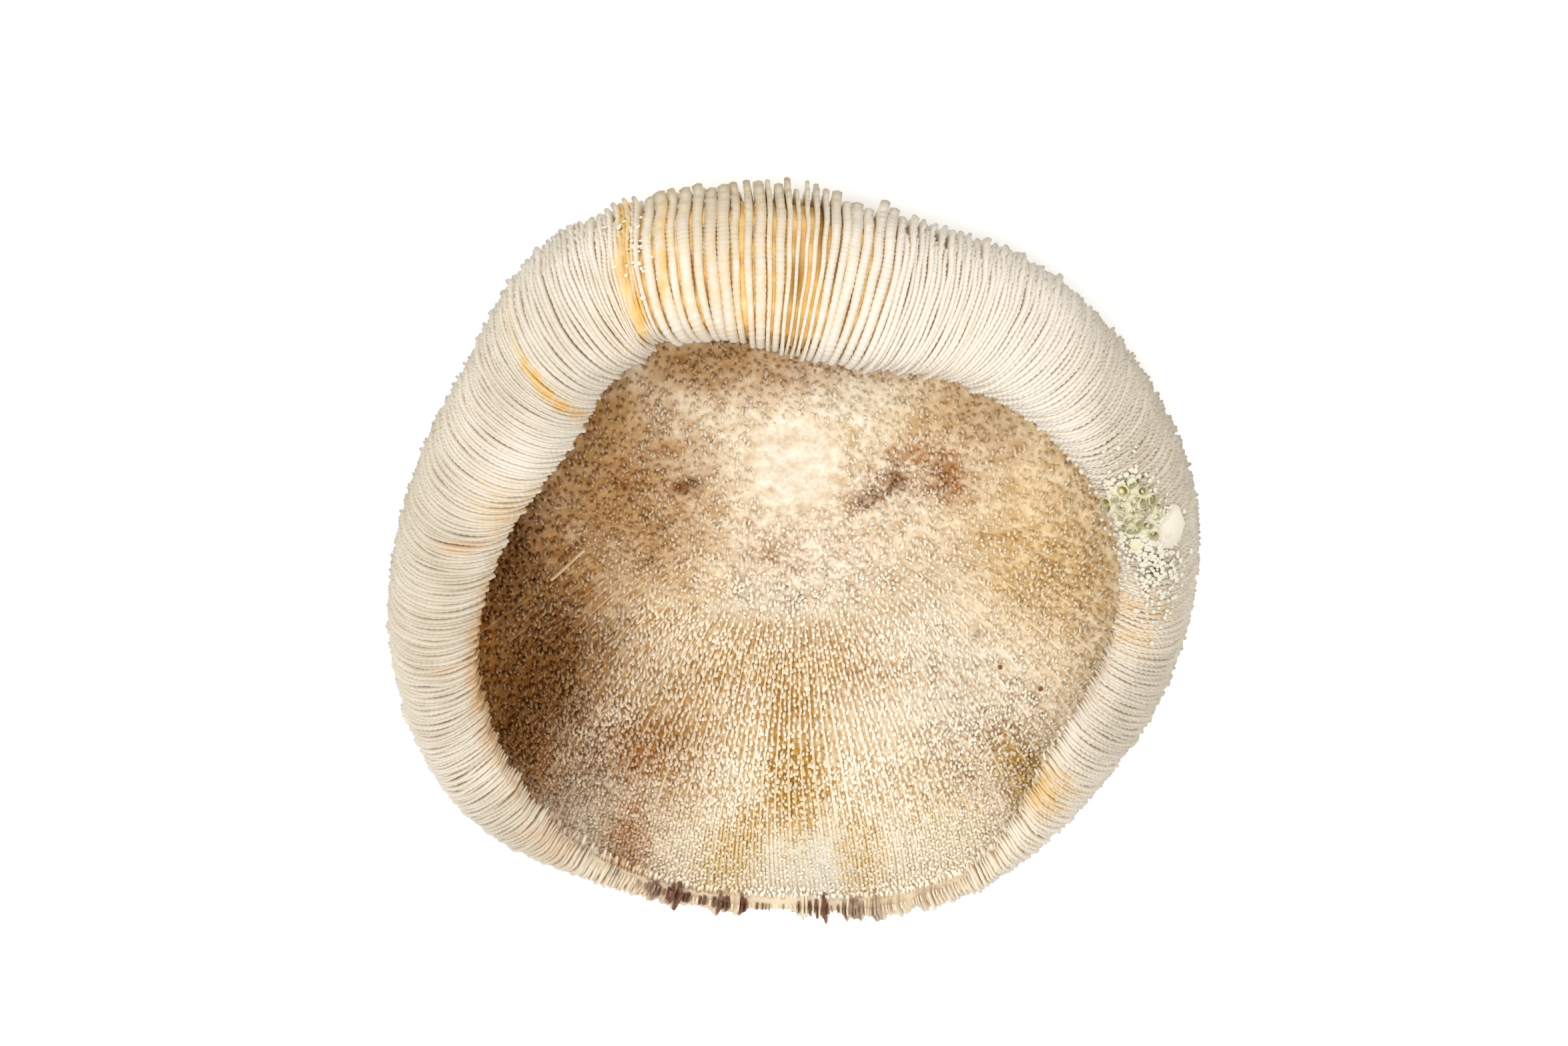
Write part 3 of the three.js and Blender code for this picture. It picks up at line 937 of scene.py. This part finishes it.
def hollowMaterial(ragged, grain):
    material, tree, shader, where = startMaterial("stainedHollow", 0.95)
    shader.inputs["Specular IOR Level"].default_value = 0.1
    rise = addValue(tree, "rise")
    top = addMath(tree, "MULTIPLY_ADD", rise, 2.2, -0.5, clamp=True)
    colour = hollowColours["bone"]
    for name, (scale, raggedness, kept) in hollowStainLook.items():
        mask = addStain(tree, ragged, where, name, scale, raggedness)
        left = addMath(tree, "MULTIPLY_ADD", top, kept - 1, 1.0)
        colour = addMix(tree, addMath(tree, "MULTIPLY", mask, left), colour, hollowColours[name])
    # the low ground between spines and ridges darkens towards the valley colour in noisy patches, most in
    # the furrows of the open side: partly real staining, partly painted shade in these recesses; light and
    # chalk patches hold it off
    low = addMath(tree, "SUBTRACT", 1.0, addMath(tree, "MULTIPLY", rise, 2.5, clamp=True))
    patchy = addNoise(tree, where, 420.0, 4.0, 0.7)
    patches = addMath(tree, "MULTIPLY_ADD", patchy, 2.4, -0.8)
    shadeAndDirtPattern = addMath(tree, "MULTIPLY_ADD", addValue(tree, "furrow"), 0.5, patches)
    clean = addMath(tree, "MULTIPLY_ADD", addValue(tree, "paleAndLight"), 0.6, addValue(tree, "chalk"))
    low = addMath(tree, "MULTIPLY", low, addMath(tree, "SUBTRACT", 1.0, clean, clamp=True))
    dirtAndShade = addMath(tree, "MULTIPLY", low, addMath(tree, "MAXIMUM", shadeAndDirtPattern, 0.0, clamp=True))
    colour = addMix(tree, dirtAndShade, colour, addMix(tree, 1.0, colour, hollowColours["valley"], "MULTIPLY"))
    # small dark crumbs of soil in the low places, most of all among the ridges and the ochre
    crumbs = addMath(tree, "MULTIPLY_ADD", addNoise(tree, where, 1100.0, 2.0, 0.6), 9.0, -4.7, clamp=True)
    soiled = addMath(tree, "ADD", addMath(tree, "MULTIPLY_ADD", addValue(tree, "furrow"), 0.25, 0.15),
                     addMath(tree, "MULTIPLY", addValue(tree, "ochre"), 0.8))
    crumbs = addMath(tree, "MULTIPLY", addMath(tree, "MULTIPLY", crumbs, low), soiled)
    colour = addMix(tree, crumbs, colour, hollowColours["soil"])
    oral = addMix(tree, addValue(tree, "gap"), bladeColours["deep"], gapColour(tree, where, patchy))
    oral = addMix(tree, addValue(tree, "pit"), oral, bladeColours["pit"])
    colour = addMix(tree, addValue(tree, "oral"), colour, oral)
    tree.links.new(colour, shader.inputs["Base Color"])
    detail = placeGroup(tree, grain, Vector=where, Scale=2200.0)
    addBump(tree, shader, detail.outputs["Height"], 0.00014)
    return material


def crustMaterial(grain):
    material, tree, shader, where = startMaterial("porousCrust", 0.85)
    detail = placeGroup(tree, grain, Vector=where, Scale=1500.0)
    green = addMath(tree, "MULTIPLY", addValue(tree, "green"), detail.outputs["Speckle"], clamp=True)
    colour = addMix(tree, green, crustColours["lime"], crustColours["green"])
    colour = addMix(tree, addValue(tree, "hole"), colour, crustColours["hole"])
    tree.links.new(colour, shader.inputs["Base Color"])
    addBump(tree, shader, detail.outputs["Height"], 0.00012, 0.5)
    return material


def bladeMaterial(ragged, grain):
    material, tree, shader, where = startMaterial("boneBlades", 0.72)
    deep = addValue(tree, "deep")
    along = addValue(tree, "along")
    low = addMath(tree, "POWER", deep, 1.3)
    gaps = gapColour(tree, where, addValue(tree, "odd"))
    sunk = addMix(tree, addValue(tree, "gap"), bladeColours["deep"], gaps)
    sunk = addMix(tree, addValue(tree, "pit"), sunk, bladeColours["pit"])
    colour = addMix(tree, addMath(tree, "MULTIPLY", low, 0.85), bladeColours["bone"], sunk)
    # blades below the widest line turn grey-beige: partly their own weathered tone, partly painted shade on
    # the underside as it turns away from the light
    undersideGreyAndShade = addMath(tree, "SUBTRACT", 1.0, addMath(tree, "MULTIPLY_ADD", along, 8.0, -4.3, clamp=True))
    colour = addMix(tree, addMath(tree, "MULTIPLY", undersideGreyAndShade, 0.55), colour, bladeColours["undersideGreyAndShade"])
    opened = addMath(tree, "MULTIPLY", addValue(tree, "open"), 0.7)
    colour = addMix(tree, opened, colour, bladeColours["open"])
    for name, (scale, raggedness) in bladeStainLook.items():
        mask = addStain(tree, ragged, where, name, scale, raggedness)
        colour = addMix(tree, mask, colour, bladeColours[name])
    detail = placeGroup(tree, grain, Vector=where, Scale=1800.0)
    speck = addMath(tree, "MULTIPLY_ADD", detail.outputs["Speckle"], 2.4, -1.25, clamp=True)
    colour = addMix(tree, addMath(tree, "MULTIPLY", speck, 0.2), colour, bladeColours["deep"])
    tree.links.new(colour, shader.inputs["Base Color"])
    addBump(tree, shader, detail.outputs["Height"], 0.00012, 0.5)
    return material


# ---- camera, floor and light
camera = {
    "lookAt": (-1.22, 3.43, 12.87),
    "tilt": 28,          # degrees off straight down
    "distance": 640,
    "lens": 100,
}


def addCamera():
    tilt = math.radians(camera["tilt"])
    x, y, z = camera["lookAt"]
    y, z = y + camera["distance"] * math.sin(tilt), z + camera["distance"] * math.cos(tilt)
    spot = (x * mm, y * mm, z * mm)
    bpy.ops.object.camera_add(location=spot, rotation=(-tilt, 0, 0))
    eye = bpy.context.object
    eye.data.lens = camera["lens"]
    eye.data.clip_start = 0.01
    bpy.context.scene.camera = eye


studio = {
    "sky": 0.88,
    "tableColour": (0.93, 0.93, 0.93, 1),
    "tableGlow": 0.2,        # the table is lit from below too
    "aim": (0, 0, 0.02),     # where the softboxes point
    # softboxes as name: (x, y, z, size, watts)
    "boxes": {"overhead": (0.0, 0.4, 0.85, 0.6, 4.6), "side": (-0.65, 0.35, 0.7, 0.5, 1.6)},
}


def addFloor():
    bpy.ops.mesh.primitive_plane_add(size=4)
    floor = bpy.context.object
    floor.name = "floor"
    material, _, shader, _ = startMaterial("paleFloor", 0.85)
    shader.inputs["Base Color"].default_value = studio["tableColour"]
    shader.inputs["Emission Color"].default_value = (1, 1, 1, 1)
    shader.inputs["Emission Strength"].default_value = studio["tableGlow"]
    floor.data.materials.append(material)


def addLights():
    world = bpy.data.worlds.new("studio")
    world.use_nodes = True
    sky = world.node_tree.nodes["Background"].inputs
    sky["Color"].default_value = (1, 1, 1, 1)
    sky["Strength"].default_value = studio["sky"]
    bpy.context.scene.world = world
    for name, (x, y, z, size, watts) in studio["boxes"].items():
        bpy.ops.object.light_add(type="AREA", location=(x, y, z))
        lamp = bpy.context.object
        lamp.name, lamp.data.size, lamp.data.energy = name, size, watts
        away = np.subtract((x, y, z), studio["aim"])
        lamp.rotation_euler = (math.acos(away[2] / np.linalg.norm(away)), 0, math.atan2(away[0], -away[1]))
    bpy.context.scene.view_settings.view_transform = "Standard"


# ---- put together
bpy.ops.object.select_all(action="DESELECT")
addCamera()
addFloor()
addLights()
print("studio ready")

raggedGroup, grainGroup = makeRaggedGroup(), makeGrainGroup()
hollowFinish = hollowMaterial(raggedGroup, grainGroup)
bladeFinish = bladeMaterial(raggedGroup, grainGroup)
crustFinish = crustMaterial(grainGroup)

wallPiece = makeWall()
pieces = [(wallPiece, hollowFinish)]
print("wall", len(wallPiece.data.polygons) * 2)

eighths = ("east", "north_east", "north", "north_west", "west", "south_west", "south", "south_east")
for number, side in enumerate(eighths):
    inSide = np.mod(np.floor((np.degrees(rowAngle) + 22.5) / 45), 8) == number
    inSide = inSide & ((rowLevel < finest) | (topShare(rowAngle) < 0.5))
    piece = makeBlades("blades_" + side, rowNumbers[inSide])
    pieces.append((piece, bladeFinish))
    print(piece.name, len(piece.data.polygons) * 2)

oneSpine = spineShape()
spineAngle, spineAlong = spineRows()
for number, side in enumerate(eighths[::2]):
    inSide = np.mod(np.floor((np.degrees(spineAngle) + 45) / 90), 4) == number
    piece = makeSpines("spines_" + side, spineAngle[inSide], spineAlong[inSide], oneSpine)
    pieces.append((piece, hollowFinish))
    print(piece.name, len(piece.data.polygons))
grainAngle, grainAlong = centreGrains()
pieces.append((makeSpines("spines_centre", grainAngle, grainAlong, oneSpine), hollowFinish))
print("spines_centre", len(pieces[-1][0].data.polygons))

cup, lump, grain = cupShape(), lumpShape(2), lumpShape(1)
for piece in makeGrowths(cup, lump, grain):
    pieces.append((piece, crustFinish))
    print(piece.name, len(piece.data.polygons))
clean, brown = {"rise": 1.0, "brown": 0.0}, {"brown": 1.0}
pieces.append((lieInHollow("scar_line", lump, scarLine, clean), hollowFinish))
pieces.append((lieInHollow("dark_grains", lump, darkGrains, brown), hollowFinish))
pieces.append((lieInHollow("dark_sliver", lump, darkSliver, brown), hollowFinish))
print("small marks")

for piece, finish in pieces:
    piece.data.materials.append(finish)
    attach(piece, "root")
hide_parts("coral_skeleton")
